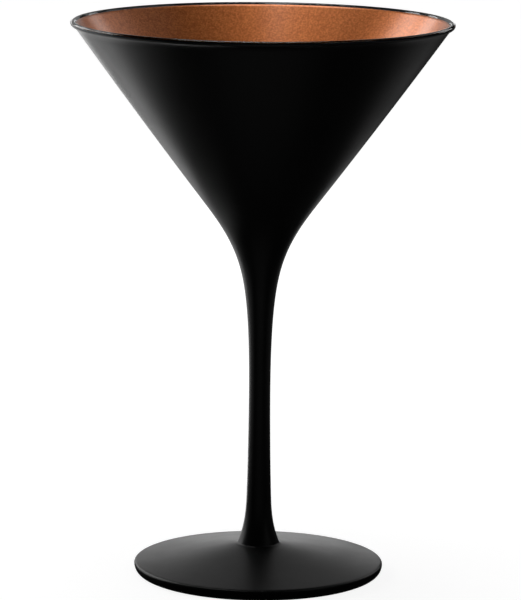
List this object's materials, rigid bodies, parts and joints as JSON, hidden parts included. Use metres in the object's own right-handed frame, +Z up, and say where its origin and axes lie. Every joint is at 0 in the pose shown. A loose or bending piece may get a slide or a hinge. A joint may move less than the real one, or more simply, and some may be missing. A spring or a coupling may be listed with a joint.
{
  "type": "martini glass",
  "caption": "Stemmed martini glass with a wide conical bowl, slim waisted stem and round foot, matte black outside and bronze inside.",
  "frame": {"origin": "centre of the ring that the foot stands on, at the level of the table", "axes": "+Z up along the stem, from the foot to the rim; the glass is round, so X and Y are alike"},
  "size_m": [0.117, 0.117, 0.172],
  "materials": {
    "clear_glass": "clear, fire-polished soda-lime glass",
    "black_coat": "sprayed matte black lacquer with a soft sheen",
    "bronze_coat": "sprayed satin bronze metallic lacquer with fine flake"
  },
  "bodies": {
    "root": {"bowl_glass": "clear_glass", "stem_glass": "clear_glass", "foot_glass": "clear_glass", "bowl_lining": "bronze_coat", "bowl_coat": "black_coat", "stem_coat": "black_coat", "foot_coat": "black_coat", "foot_base_coat": "black_coat"}
  },
  "joints": []
}
